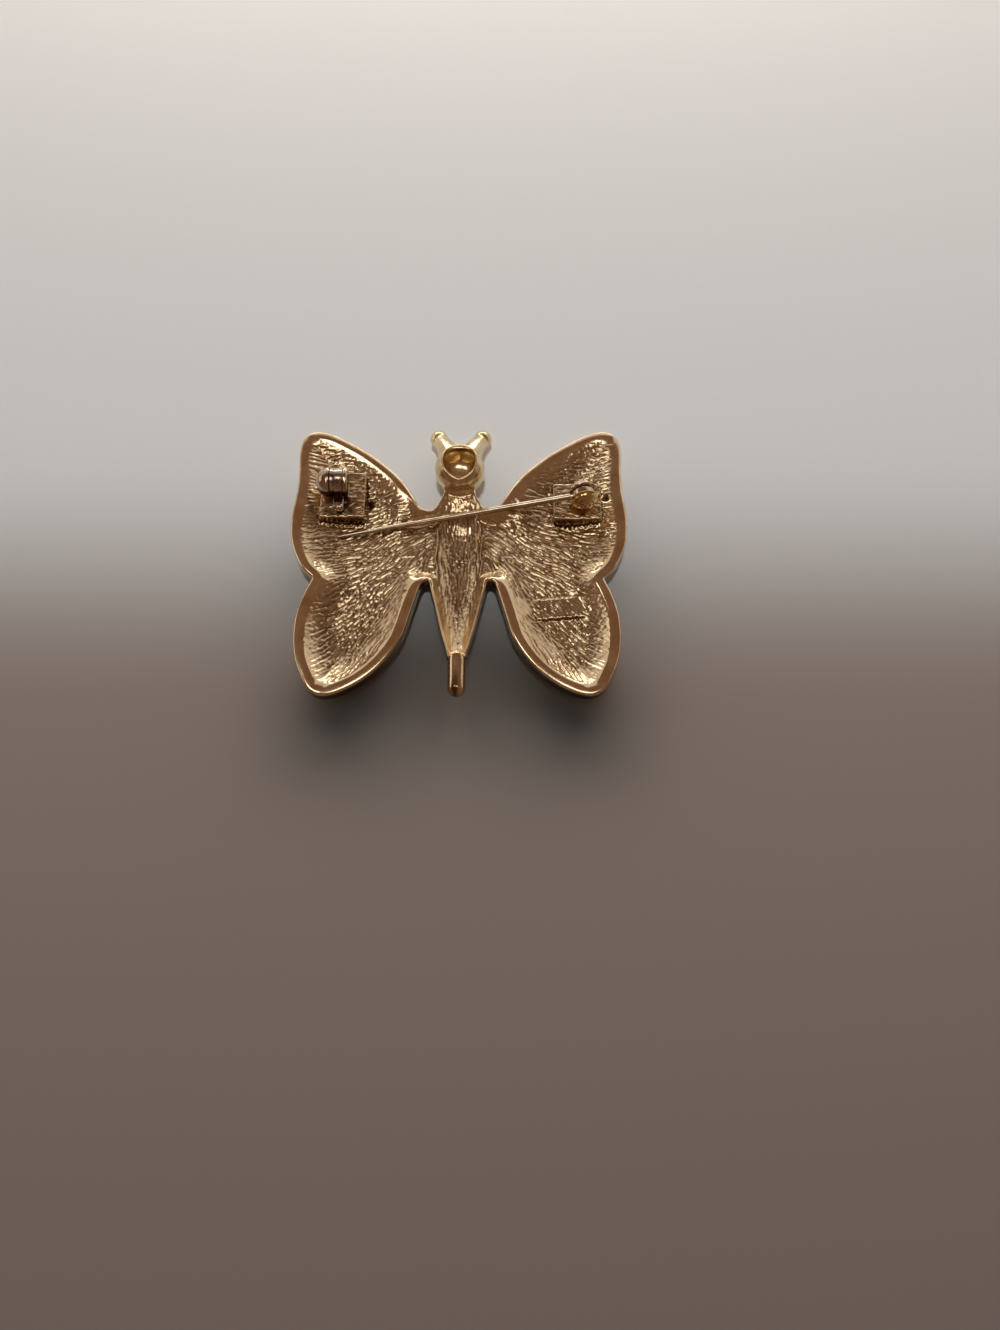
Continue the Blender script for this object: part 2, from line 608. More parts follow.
# %% Points that fill the plan
FIELD_GAP = 0.134
RIM_ROWS = [0.03, 0.08, 0.15, 0.24, 0.36]
SLOPE_ROWS, FIELD_START = [-0.55, -0.32, -0.12, 0.05, 0.18, 0.32, 0.46], 0.52
# how far apart the rows of an even field are, as a share of its gap
ROW_SHARE = 0.866


def edge_normals():
    """Directions from the edge's points into the plan."""
    step = np.roll(edge, -1, axis=0) - np.roll(edge, 1, axis=0)
    across = np.c_[-step[:, 1], step[:, 0]] / np.hypot(*step.T)[:, None]
    return np.where(inside(edge + 0.05 * across)[:, None], across, -across)


def field_of_points(gap, reach):
    """An even field of points inside the edge, at least reach from the rim's inner side."""
    low, high = edge.min(0), edge.max(0)
    rows = []
    for k, y in enumerate(np.arange(low[1], high[1], gap * ROW_SHARE)):
        x = np.arange(0.5 * gap * (k % 2), high[0], gap)
        x = np.r_[-x[::-1], x[x > 0]]
        rows.append(np.c_[x, np.full(len(x), y)])
    p = np.vstack(rows)
    p = p[inside(p)]
    return p[distance_to(p, edge) > rim_width(*p.T) + reach]


def rows_along_edge(offsets, from_rim, gap=0.11):
    """Points at set distances from the edge, or from the rim's inner side."""
    normals = edge_normals()
    start = rim_width(*edge.T) if from_rim else np.zeros(len(edge))
    made = []
    for offset in offsets:
        reach = start + offset
        p, reach = (edge + normals * reach[:, None])[reach > 0.02], reach[reach > 0.02]
        p = p[(distance_to(p, edge) > reach - 0.02) & inside(p)]
        made.append(p[np.r_[True, np.hypot(*np.diff(p, axis=0).T) > gap]])
    return np.vstack(made)


def plan_triangles(points):
    """Triangles between the edge and the points, all turned to face up."""
    loop = [(i, (i + 1) % len(edge)) for i in range(len(edge))]
    spots = [Vector(p) for p in np.vstack([edge, points])]
    verts, _, faces, *_ = delaunay_2d_cdt(spots, loop, [], 0, 1e-7, False)
    plan, faces = np.array([tuple(v) for v in verts]), np.array([tuple(f) for f in faces])
    faces = faces[inside(plan[faces].mean(1))]
    a, b, c = plan[faces[:, 0]], plan[faces[:, 1]], plan[faces[:, 2]]
    ab, ac = b - a, c - a
    turn = ab[:, 0] * ac[:, 1] - ab[:, 1] * ac[:, 0]
    faces[turn < 0] = faces[turn < 0][:, ::-1]
    return plan, faces


# %% [markdown]
# The back skin takes its height from the tables above and its streaks from the
# smeared speckle.

# %% Back skin with its grain
GRAIN_HEIGHT, LUMP_HEIGHT, PATCH_SHARE = 0.052, 0.010, 0.3
back_points = np.vstack([
    rows_along_edge(RIM_ROWS, False),
    rows_along_edge(SLOPE_ROWS, True),
    field_of_points(FIELD_GAP, FIELD_START),
])
back_plan, back_faces = plan_triangles(back_points)
back_distance = distance_to(back_plan, edge)
back_z, hollow = back_height(back_plan, back_distance)
streak_here = sample(streaks, *back_plan.T)
patch_here = np.clip(sample(patches, *back_plan.T), -1.5, 1.5)
grain_here = GRAIN_HEIGHT * streak_here + LUMP_HEIGHT * sample(lumps, *back_plan.T)
back_z = back_z + hollow * (1 + PATCH_SHARE * patch_here) * grain_here
print("back skin", len(back_plan), "points", len(back_faces), "triangles")

# %% [markdown]
# Grime stays in the low streaks, in the pits and under the panel's low side.
# Next to the rim and in the narrow end of the body the cloth has wiped it away.

# %% Grime on the back
GRIME_MEAN, GRIME_BY_STREAK, GRIME_BY_PATCH = 0.44, -0.38, 0.12
PIT_GRIME, PANEL_GRIME = 0.85, 2.4
WIPED_ALONG_RIM, WIPED_AT_BODY_END = 0.7, 0.5
x_here, y_here = back_plan.T
from_rim = back_distance - rim_width(x_here, y_here)
streak_grime = GRIME_MEAN + GRIME_BY_STREAK * streak_here + GRIME_BY_PATCH * patch_here
back_grime = hollow * np.clip(streak_grime, 0, 0.85)
back_grime = back_grime * (1 - WIPED_ALONG_RIM * (1 - smooth_step(0.5, 2.4, from_rim)))
body_end = smooth_step(-10.5, -13.0, y_here) * (np.abs(x_here) < 2.2)
back_grime = back_grime * (1 - WIPED_AT_BODY_END * body_end)
panel_here = panel_share(x_here, y_here)
low_side = smooth_step(PANEL_MIDDLE[1], PANEL_MIDDLE[1] - 0.8, y_here)
panel_border = low_side * panel_here * (1 - panel_here)
back_grime = back_grime + PIT_GRIME * pit_share(x_here, y_here) + PANEL_GRIME * panel_border
back_grime = np.clip(back_grime, 0, 1)
print("grime", round(float(back_grime.min()), 2), "to", round(float(back_grime.max()), 2))

# %% [markdown]
# The front can't be seen in the photograph. It is finished plainly, as the
# smooth swelling wings and the round body of such a brooch, with soft edges.

# %% Front skin
# rows of the round body: place along the body, radius, height of its middle line
BODY = np.array([
    (-16, 1.2, 2.5), (-15.1, 1.3, 2.6), (-13.1, 1.8, 2.88), (-11.1, 2.3, 3.16), (-8.1, 2.97, 3.58),
    (-6.0, 3.38, 3.88), (-4.1, 3.75, 4.15), (-3, 4.1, 4.3), (-1, 4.3, 4.35), (5, 4.3, 4.35),
    (6.2, 4.25, 4.35), (6.8, 3.9, 4.35), (7.4, 3.32, 4.35), (8.2, 2.86, 4.35), (8.65, 2.67, 4.35),
    (9.45, 2.47, 4.35), (12, 2.44, 4.35),
])
FRONT_ROUNDING, FRONT_GAP, FRONT_TOP = 0.9, 0.42, RIM_HEIGHT - 0.6
FRONT_ROWS, FRONT_ROW_GAP = [0.06, 0.16, 0.3, 0.5, 0.75, 1.1], 0.25
TABLE_CLEARANCE, ROUND_BODY_BLEND = 0.03, 0.35


def front_height(points, d):
    """Height of the front, which faces down: domed wings and a round body, d from the edge."""
    x, y = points.T
    radius = np.interp(y, BODY[:, 0], BODY[:, 1])
    axis = np.interp(y, BODY[:, 0], BODY[:, 2])
    out = np.abs(x)
    body = axis + np.where(out < radius, -np.sqrt(np.maximum(radius**2 - out**2, 0)), out - radius)
    height = soft_min(bowl(x, y, DOME_RADIUS, DOME_RADIUS, 0.0), body, ROUND_BODY_BLEND)
    left = np.clip(FRONT_ROUNDING - d, 0, FRONT_ROUNDING)
    lift = FRONT_ROUNDING - np.sqrt(FRONT_ROUNDING**2 - left**2)
    return np.clip(height + lift, TABLE_CLEARANCE, FRONT_TOP)


front_points = np.vstack([
    rows_along_edge(FRONT_ROWS, False, FRONT_ROW_GAP),
    field_of_points(FRONT_GAP, 0.2),
])
front_plan, front_faces = plan_triangles(front_points)
front_z = front_height(front_plan, distance_to(front_plan, edge))
print("front skin", len(front_plan), "points", len(front_faces), "triangles")

# %% [markdown]
# Two helpers make a mesh object and give it the attributes that its gold reads.


# %% New pieces
def new_piece(name, verts_mm, faces):
    """A smooth mesh object at the origin, from points in millimetres."""
    mesh = bpy.data.meshes.new(name)
    mesh.from_pydata([tuple(v) for v in np.asarray(verts_mm) * MM], [], faces)
    mesh.validate()
    mesh.polygons.foreach_set("use_smooth", [True] * len(mesh.polygons))
    piece = bpy.data.objects.new(name, mesh)
    bpy.context.scene.collection.objects.link(piece)
    return piece


def rough_finish(piece, hollow_values, grime_values):
    """Tells the cast gold how rough and how grimy each point of a piece is."""
    for name, values in (("hollow_share", hollow_values), ("grime_share", grime_values)):
        shares = np.zeros(len(piece.data.vertices))
        shares[: len(values)] = values
        piece.data.attributes.new(name, "FLOAT", "POINT").data.foreach_set("value", shares)


# %% [markdown]
# The two skins share the same edge points, so a band of four-sided faces
# closes them. A few levels in the band keep the edge straight and let the
# light break at both of its borders. The sides that face the tail are stained.

# %% Close the two skins along the edge
BAND_SHARES, SIDE_GRIME = [0.12, 0.5, 0.88], 0.85
side_grime = SIDE_GRIME * smooth_step(0.2, 0.7, edge_normals()[:, 1])
count = len(edge)
band_levels = [back_z[:count] * (1 - s) + front_z[:count] * s for s in BAND_SHARES]
verts = np.vstack([
    np.c_[back_plan, back_z],
    np.c_[front_plan, front_z],
    *[np.c_[edge, level] for level in band_levels],
])
front_start = len(back_plan)
starts = [0] + [front_start + len(front_plan) + k * count for k in range(len(BAND_SHARES))] + [front_start]
first = np.arange(count)
second = np.roll(first, -1)
area = np.sum(edge[:, 0] * np.roll(edge[:, 1], -1) - np.roll(edge[:, 0], -1) * edge[:, 1])
band = np.vstack([np.c_[first + a, first + b, second + b, second + a] for a, b in zip(starts, starts[1:])])
band = band if area > 0 else band[:, ::-1]
front_down = front_faces[:, ::-1] + front_start
wing_casting = new_piece("wing_casting", verts, [*back_faces.tolist(), *front_down.tolist(), *band.tolist()])
all_grime = np.r_[back_grime, np.zeros(len(front_plan)), np.tile(side_grime, len(BAND_SHARES))]
rough_finish(wing_casting, hollow, all_grime)
wing_casting.data.materials.append(cast_gold)
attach(wing_casting, "brooch")
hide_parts("casting")
print("wing_casting", len(wing_casting.data.polygons), "faces")

# %% [markdown]
# ## Building blocks for the small pieces
# Nearly all findings are turned or lofted: a row of rings joined by faces and
# closed at both ends. One helper joins rings and one turns a profile about a
# line. A ring of one point makes a closed tip.


# %% Rings and turned shapes
def join_rings(rings):
    """Closed skin through rings with as many points each."""
    verts, faces, starts = [], [], []
    for ring in rings:
        starts.append(len(verts))
        verts.extend(ring)
    for one, two, a, b in zip(rings, rings[1:], starts, starts[1:]):
        n = max(len(one), len(two))
        for i in range(n):
            j = (i + 1) % n
            if len(one) == 1:
                faces.append((a, b + j, b + i))
            elif len(two) == 1:
                faces.append((a + i, a + j, b))
            else:
                faces.append((a + i, a + j, b + j, b + i))
    for ring, start, way in ((rings[0], starts[0], -1), (rings[-1], starts[-1], 1)):
        if len(ring) > 1:
            faces.append(tuple(range(start, start + len(ring)))[::way])
    return np.array(verts), faces


def turned(profile, middle, along, segments=48):
    """Rings of a turned shape: rows of (place along the line, radius)."""
    along = np.array(along, float) / np.linalg.norm(along)
    side = np.cross(along, (0, 0, 1) if abs(along[2]) < 0.9 else (1, 0, 0))
    side = side / np.linalg.norm(side)
    up = np.cross(along, side)
    angle = np.linspace(0, 2 * math.pi, segments, endpoint=False)[:, None]
    circle = np.cos(angle) * side + np.sin(angle) * up
    rings = []
    for place, radius in profile:
        spot = np.array(middle) + along * place
        rings.append([spot] if radius < 1e-6 else list(spot + radius * circle))
    return join_rings(rings)


# %% [markdown]
# Sheet metal and small blocks have broken edges. A box whose corners are
# pulled onto small balls has truly round edges, which catch the light.


# %% Boxes with round edges
def rounded_box(low, high, radius, gap=0.5):
    """A box with round edges, from a grid that is fine only near the edges."""
    low, high = np.array(low, float), np.array(high, float)
    marks = []
    for k in range(3):
        near = radius * np.array([0, 0.2, 0.4, 0.6, 0.8, 1.0])
        steps = max(2, int((high[k] - low[k] - 2 * radius) / gap) + 1)
        inner = np.linspace(low[k] + radius, high[k] - radius, steps)
        marks.append(np.unique(np.round(np.r_[low[k] + near, inner, high[k] - near], 5)))
    index, verts, faces = {}, [], []
    for k in range(3):
        a, b = marks[(k + 1) % 3], marks[(k + 2) % 3]
        for level, way in ((low[k], -1), (high[k], 1)):
            for a0, a1 in zip(a, a[1:]):
                for b0, b1 in zip(b, b[1:]):
                    face = []
                    for u, v in ((a0, b0), (a1, b0), (a1, b1), (a0, b1)):
                        p = np.zeros(3)
                        p[k], p[(k + 1) % 3], p[(k + 2) % 3] = level, u, v
                        key = tuple(np.round(p, 5))
                        if key not in index:
                            index[key] = len(verts)
                            verts.append(p)
                        face.append(index[key])
                    faces.append(tuple(face[::way]))
    verts = np.array(verts)
    core = np.clip(verts, low + radius, high - radius)
    off = verts - core
    return core + off / np.maximum(np.linalg.norm(off, axis=1, keepdims=True), 1e-9) * radius, faces


# %% [markdown]
# A piece is one or more closed shells. Its faces are turned outwards, edges
# sharper than the given angle stay crisp, and it gets its material, its body
# and the solid whose place it takes.


# %% Finish a piece
def merged(parts):
    """Several shells as one list of points and one of faces."""
    verts, faces, start = [], [], 0
    for v, f in parts:
        verts.append(np.asarray(v, float))
        faces.extend(tuple(int(i) + start for i in face) for face in f)
        start += len(v)
    return np.vstack(verts), faces


def finished(name, parts, body, node, material, crisp=35):
    """One piece from closed shells: outward faces, material, body, node and slot."""
    verts, faces = merged(parts)
    piece = new_piece(name, verts, faces)
    work = bmesh.new()
    work.from_mesh(piece.data)
    bmesh.ops.recalc_face_normals(work, faces=work.faces)
    work.to_mesh(piece.data)
    work.free()
    piece.data.set_sharp_from_angle(angle=math.radians(crisp))
    piece.data.materials.append(material)
    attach(piece, body)
    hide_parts(node)
    print(name, len(piece.data.polygons), "faces")
    return piece


# %% [markdown]
# ## Head
# The head is a polished ball, open at the back like a small cup. Its mouth is
# wide at the top and narrows to a rounded point towards the neck. The rim
# round it is a thin bright lip, flatter and wider where the antennae start.
# Rings that all follow the mouth's outline make the ball, the lip and the cup.

# %% Head
# rows round the mouth: angle (-90 is the neck's side), mouth radius, lip height
MOUTH = smooth_rows([
    (-90, 2.66, 5.40), (-75, 2.50, 5.50), (-60, 2.40, 5.66), (-30, 2.27, 5.84), (0, 2.22, 5.88),
    (20, 2.30, 5.84), (40, 2.42, 5.70), (55, 2.36, 5.60), (70, 2.22, 5.54), (90, 2.14, 5.52),
], 6)
CUP_RADIUS, CUP_MIDDLE, CUP_FLOOR = 2.50, 5.0, 2.55
# rows over the lip: share of its width from outside to inside, rise above its outer line
LIP = [(0.12, 0.04), (0.3, 0.065), (0.55, 0.07), (0.8, 0.055), (0.95, 0.0)]


def head_rings(segments=120):
    """Rings up the outside of the ball, over the lip and down into the cup."""
    angle = np.linspace(0, 2 * math.pi, segments, endpoint=False)
    ray = np.c_[np.cos(angle), np.sin(angle), np.zeros(segments)]
    up = np.array([0, 0, 1])
    turn = np.degrees(np.arcsin(np.sin(angle)))
    mouth = np.interp(turn, MOUTH[:, 0], MOUTH[:, 1])
    lip = np.interp(turn, MOUTH[:, 0], MOUTH[:, 2]) - HEAD_MIDDLE[2]
    lip_outer = np.sqrt(HEAD_RADIUS**2 - lip**2)
    tilt = np.arctan2(lip_outer, lip)
    rings = [[HEAD_MIDDLE - HEAD_RADIUS * up]]
    for share in np.linspace(0, 1, 41)[1:]:
        polar = (math.pi - share * (math.pi - tilt))[:, None]
        rings.append(HEAD_MIDDLE + HEAD_RADIUS * (np.sin(polar) * ray + np.cos(polar) * up))
    width = (lip_outer - mouth)[:, None]
    for share, rise in LIP:
        rings.append(HEAD_MIDDLE + (lip_outer[:, None] - share * width) * ray + (lip[:, None] + rise) * up)
    for share in np.linspace(0, 1, 9)[1:]:
        level = (lip - 0.1) * (1 - share) + (CUP_MIDDLE - HEAD_MIDDLE[2]) * share
        reach = mouth + (CUP_RADIUS - mouth) * math.sin(share * math.pi / 2)
        rings.append(HEAD_MIDDLE + reach[:, None] * ray + level[:, None] * up)
    for t in np.linspace(0, math.pi / 2, 15)[1:-1]:
        level = CUP_MIDDLE - HEAD_MIDDLE[2] - (CUP_MIDDLE - CUP_FLOOR) * math.sin(t)
        rings.append(HEAD_MIDDLE + CUP_RADIUS * math.cos(t) ** 0.7 * ray + level * up)
    rings.append([np.array([0, HEAD_MIDDLE[1], CUP_FLOOR])])
    return [list(ring) for ring in rings]


finished("head", [join_rings(head_rings())], "brooch", "casting", head_gold, crisp=60)

# %% [markdown]
# ## A bar along a path
# Antennae and pin are round bars that follow a path and change in thickness.
# Geometry Nodes make both from the same small tree: the path's points carry
# the radius, a circle is swept along them, and the ends are capped. A path
# whose radius swells like a ball ends in a ball.

# %% Geometry Nodes for round bars
bar_tree = bpy.data.node_groups.new("round_bar", "GeometryNodeTree")
for label, way, kind in (
    ("Path", "INPUT", "NodeSocketGeometry"), ("Sides", "INPUT", "NodeSocketInt"),
    ("Skin", "INPUT", "NodeSocketMaterial"), ("Bar", "OUTPUT", "NodeSocketGeometry"),
):
    bar_tree.interface.new_socket(label, in_out=way, socket_type=kind)
given = bar_tree.nodes.new("NodeGroupInput")
result = bar_tree.nodes.new("NodeGroupOutput")
to_curve = bar_tree.nodes.new("GeometryNodeMeshToCurve")
thickness = add_node(bar_tree, "GeometryNodeInputNamedAttribute", data_type="FLOAT", Name="bar_radius")
circle = add_node(bar_tree, "GeometryNodeCurvePrimitiveCircle", Radius=1.0)
to_mesh = bar_tree.nodes.new("GeometryNodeCurveToMesh")
to_mesh.inputs["Fill Caps"].default_value = True
smooth = bar_tree.nodes.new("GeometryNodeSetShadeSmooth")
realize = bar_tree.nodes.new("GeometryNodeRealizeInstances")
paint = bar_tree.nodes.new("GeometryNodeSetMaterial")
for out_socket, in_socket in (
    (given.outputs["Path"], to_curve.inputs["Mesh"]),
    (given.outputs["Sides"], circle.inputs["Resolution"]),
    (given.outputs["Skin"], paint.inputs["Material"]),
    (to_curve.outputs["Curve"], to_mesh.inputs["Curve"]),
    (circle.outputs["Curve"], to_mesh.inputs["Profile Curve"]),
    (thickness.outputs["Attribute"], to_mesh.inputs["Scale"]),
    (to_mesh.outputs["Mesh"], smooth.inputs["Geometry"]),
    (smooth.outputs["Geometry"], realize.inputs["Geometry"]),
    (realize.outputs["Geometry"], paint.inputs["Geometry"]),
    (paint.outputs["Geometry"], result.inputs["Bar"]),
):
    bar_tree.links.new(out_socket, in_socket)

# %% [markdown]
# The path is a mesh of points and edges. The tree's result is copied into a
# plain mesh, so that no modifier is left when the piece joins its body.


# %% Bars as plain pieces
def drawn_bars(name, paths, sides, body, node, material):
    """One piece of round bars: each path has rows of x, y, z and radius in millimetres."""
    rows = np.vstack(paths)
    edges, start = [], 0
    for path in paths:
        edges += [(start + i, start + i + 1) for i in range(len(path) - 1)]
        start += len(path)
    line = bpy.data.meshes.new(name + "_path")
    line.from_pydata([tuple(p) for p in rows[:, :3] * MM], edges, [])
    line.attributes.new("bar_radius", "FLOAT", "POINT").data.foreach_set("value", rows[:, 3] * MM)
    holder = bpy.data.objects.new(name + "_path", line)
    bpy.context.scene.collection.objects.link(holder)
    modifier = holder.modifiers.new("round_bar", "NODES")
    modifier.node_group = bar_tree
    sockets = {item.name: item.identifier for item in bar_tree.interface.items_tree}
    modifier[sockets["Sides"]] = sides
    modifier[sockets["Skin"]] = material
    ready = holder.evaluated_get(bpy.context.evaluated_depsgraph_get())
    mesh = bpy.data.meshes.new_from_object(ready)
    holder.modifiers.remove(modifier)
    bpy.data.objects.remove(holder)
    points = np.array([tuple(v.co) for v in mesh.vertices]) / MM
    faces = [tuple(face.vertices) for face in mesh.polygons]
    return finished(name, [(points, faces)], body, node, material, crisp=60)


# %% [markdown]
# ## Antennae
# Each antenna is a short thick bar that swells out of the head, bends outwards
# and ends in a ball. The ball's rows follow a half circle of radii.

# %% Antenna path
ANTENNA_BALL, ANTENNA_BALL_RADIUS = np.array([3.1, 19.05, 1.85]), 1.25
ANTENNA_ROOT, ANTENNA_BEND = np.array([0.95, 14.4, 3.35]), np.array([1.9, 17.0, 2.85])
ROOT_RADIUS, TIP_RADIUS = 1.75, 0.95


def antenna_path():
    """A bent horn from the head to its ball end: the ball's rows follow a half circle."""
    rows = []
    for t in np.linspace(0, 0.86, 18):
        spot = (1 - t) ** 2 * ANTENNA_ROOT + 2 * t * (1 - t) * ANTENNA_BEND + t * t * ANTENNA_BALL
        horn = ROOT_RADIUS + (TIP_RADIUS - ROOT_RADIUS) * t
        from_ball = np.linalg.norm(ANTENNA_BALL - spot)
        ball = math.sqrt(max(ANTENNA_BALL_RADIUS**2 - from_ball**2, 0.0))
        rows.append((*spot, float(soft_max(horn, ball, 0.15))))
    to_ball = ANTENNA_BALL - rows[-1][:3]
    ahead = to_ball / np.linalg.norm(to_ball)
    start = math.acos(min(1.0, np.linalg.norm(to_ball) / ANTENNA_BALL_RADIUS))
    for t in np.linspace(start, math.pi - 0.03, 22)[1:]:
        spot = ANTENNA_BALL - ahead * ANTENNA_BALL_RADIUS * math.cos(t)
        rows.append((*spot, ANTENNA_BALL_RADIUS * math.sin(t)))
    return np.array(rows)


right_antenna = antenna_path()
left_antenna = right_antenna * [-1, 1, 1, 1]
drawn_bars("antennae", [right_antenna, left_antenna], 36, "brooch", "casting", head_gold)

# %% [markdown]
# ## Tail
# The tail is a smooth round rod with a domed end. It is a little thicker where
# it runs into the body.

# %% Tail
TAIL_RADIUS, TAIL_END = 1.2, (0, -20.27, 2.3)
tail_profile = [(0, 0)]
for t in np.linspace(0.12, math.pi / 2, 12):
    tail_profile.append((TAIL_RADIUS * (1 - math.cos(t)), TAIL_RADIUS * math.sin(t)))
tail_profile += [(2.2, 1.2), (3.2, 1.2), (4.6, 1.22), (5.2, 1.24), (5.55, 1.2), (5.8, 0.9), (5.85, 0)]
tail = turned(tail_profile, TAIL_END, (0, 1, 0), 72)
tail_piece = finished("tail", [tail], "brooch", "casting", cast_gold)

# %% [markdown]
# Its plating has a dark stain: a streak along the middle of its upper side and
# a spot near the end.

# %% Stain on the tail
STREAK_X, STREAK_WIDTH = -0.15, 0.38
SPOT, SPOT_WIDTH, SPOT_LENGTH = (-0.3, -19.3), 0.6, 0.7
STAIN_STRENGTH, STAIN_LOW_EDGE, TAIL_ROUGHNESS_SHARE = 0.8, 2.2, 0.3
tail_x, tail_y, tail_z = tail[0].T
stain = np.exp(-(((tail_x - STREAK_X) / STREAK_WIDTH) ** 2)) * smooth_step(-16.6, -18.0, tail_y)
from_spot = ((tail_x - SPOT[0]) / SPOT_WIDTH) ** 2 + ((tail_y - SPOT[1]) / SPOT_LENGTH) ** 2
stain = STAIN_STRENGTH * (stain + np.exp(-from_spot)) * (tail_z > STAIN_LOW_EDGE)
rough_finish(tail_piece, 0 * tail_x + TAIL_ROUGHNESS_SHARE, np.clip(stain, 0, 1))
print("stain up to", round(float(stain.max()), 2))

# %% [markdown]
# ## Base plates
# The hinge and the catch stand on plates that are alike. Hot solder leaves the
# top uneven, and streaks like those of the hollows cross it, so the plates get
# the casting's rough gold.

# %% Base plates
# heights between which a plate's smooth side becomes its uneven top
PLATE_TOP = (2.3, 2.9)
WAVE_HEIGHT, STREAK_HEIGHT = 0.035, 0.03
PLATE_GRIME, LESS_ON_TOP, LESS_ON_STREAKS, MORE_ON_WAVES = 1.1, 0.72, 0.34, 0.2


def soldered_plate(name, low, high):
    """A base plate between two corners, with its uneven top and its grime."""
    verts, faces = rounded_box(low, high, 0.25, 0.13)
    x, y, z = verts.T
    on_top = smooth_step(*PLATE_TOP, z)
    streak = sample(streaks, x, y)
    wave = np.sin(2.3 * x + 1.1 * y) * np.cos(1.9 * y - 0.7 * x) + 0.5 * np.sin(5.1 * x - 3.7 * y)
    raised = np.c_[x, y, z + on_top * (WAVE_HEIGHT * wave + STREAK_HEIGHT * streak)]
    plate = finished(name, [(raised, faces)], "brooch", "casting", cast_gold)
    grime = PLATE_GRIME - LESS_ON_TOP * on_top - LESS_ON_STREAKS * streak * on_top + MORE_ON_WAVES * wave
    rough_finish(plate, 0 * z + 1, np.clip(grime, 0.05, 1))


soldered_plate("hinge_plate", (12.9, 5.35, 1.0), (19.5, 11.05, 2.95))

# %% [markdown]
# ## Hinge
# The hinge is a ball on its plate. A slot splits the ball into two half domes,
# the pin's flat eye sits between them, and a rivet goes through all three. The
# domes are turned work, with fine rings left by the tool.

# %% Split ball
HINGE_MIDDLE = np.array([16.9, 8.15, 4.75])
PIN_LEAN = math.radians(8.4)
RIVET_LINE = np.array([math.sin(-PIN_LEAN), math.cos(PIN_LEAN), 0])
BALL_RADIUS, HALF_SLOT = 2.0, 0.55
RING_HEIGHT, RING_FREQUENCY = 0.035, 22


def half_dome(way):
    """One half of the ball, on one side of the slot."""
    face = math.sqrt(BALL_RADIUS**2 - HALF_SLOT**2)
    rows = [(HALF_SLOT, 0), (HALF_SLOT, face * 0.5), (HALF_SLOT, face - 0.16)]
    rows.append((HALF_SLOT + 0.04, face - 0.05))
    start = math.asin((HALF_SLOT + 0.12) / BALL_RADIUS)
    for t in np.linspace(start, math.pi / 2, 44)[:-1]:
        ring = BALL_RADIUS - RING_HEIGHT * (1 - math.cos(RING_FREQUENCY * (t - start)))
        rows.append((ring * math.sin(t), ring * math.cos(t)))
    return turned(rows + [(BALL_RADIUS - 0.05, 0)], HINGE_MIDDLE, way * RIVET_LINE, 72)


finished("far_dome", [half_dome(1)], "brooch", "casting", finding_gold)
finished("near_dome", [half_dome(-1)], "brooch", "casting", worn_gold)

# %% [markdown]
# ## Pin
# The pin is drawn wire: even at the hinge, then a long taper to a fine point.

# %% Pin wire
PIN_DROOP = math.radians(4.8757)
PIN_LINE = -np.array([
    math.cos(PIN_LEAN) * math.cos(PIN_DROOP), math.sin(PIN_LEAN) * math.cos(PIN_DROOP), math.sin(PIN_DROOP),
])
# rows of the wire: place from the hinge, radius
PIN_ROWS = [
    (0.8, 0.42), (1.5, 0.44), (2.1, 0.43), (2.5, 0.42), (5.5, 0.42), (8.5, 0.42), (12, 0.41), (18, 0.39),
    (24, 0.375), (28, 0.35), (30.5, 0.30), (32.5, 0.21), (33.8, 0.12), (34.2, 0.06), (34.3, 0.02),
]
pin_path = np.array([(*(HINGE_MIDDLE + run * PIN_LINE), radius) for run, radius in PIN_ROWS])
drawn_bars("pin_wire", [pin_path], 40, "pin", "pin", pale_metal)

# %% [markdown]
# The pin's eye is the wire's end, hammered flat and drilled. The rivet's ends
# are hammered over, so they stand a little proud. Eye and rivet are the same at
# both ends, so their rows are given for one end only.


# %% Eye and rivet
def other_end(rows):
    """The rows of one end, turned round and in the order that follows the first."""
    return [(-place, *rest) for place, *rest in rows[::-1]]


eye_rows = [(-0.475, 0), (-0.475, 0.8), (-0.475, 1.30), (-0.44, 1.42), (-0.36, 1.49), (-0.2, 1.5)]
eye = turned(eye_rows + other_end(eye_rows), HINGE_MIDDLE, RIVET_LINE, 56)
finished("pin_eye", [eye], "pin", "pin", pale_metal)

rivet_rows = [(-2.06, 0), (-2.05, 0.2), (-1.98, 0.36), (-1.9, 0.45)]
rivet = turned(rivet_rows + other_end(rivet_rows), HINGE_MIDDLE, RIVET_LINE, 32)
finished("rivet", [rivet], "brooch", "hinge_rivet", pale_metal)

# %% [markdown]
# ## Catch
# The catch is a round housing of two cheeks on its plate. A lock turns between
# them: a slotted barrel with a small lever. Each of these has the same section,
# a round with a mouth towards the pin, so one lofted shape makes all.

# %% Sections with a mouth
CATCH_MIDDLE = np.array([-16.55, 9.85, 5.1])


def mouthed_ring(outer, inner, half_mouth, count=44):
    """A round section with a hole that opens in a mouth towards -Y, as points in Y and Z."""
    start = math.asin(min(0.98, half_mouth / outer))
    big = np.linspace(-math.pi + start, math.pi - start, count)
    small_start = math.asin(min(0.98, half_mouth / inner))
    small = np.linspace(math.pi - small_start, -math.pi + small_start, count // 2)
    rim = np.c_[outer * np.cos(big), outer * np.sin(big)]
    hole = np.c_[inner * np.cos(small), inner * np.sin(small)]
    return np.vstack([rim, hole])


def mouthed_loft(rows):
    """Rows of (place along X, outer radius, hole radius, half mouth height)."""
    rings = []
    for place, outer, inner, mouth in rows:
        rings.append([CATCH_MIDDLE + (place, y, z) for y, z in mouthed_ring(outer, inner, mouth)])
    return join_rings(rings)


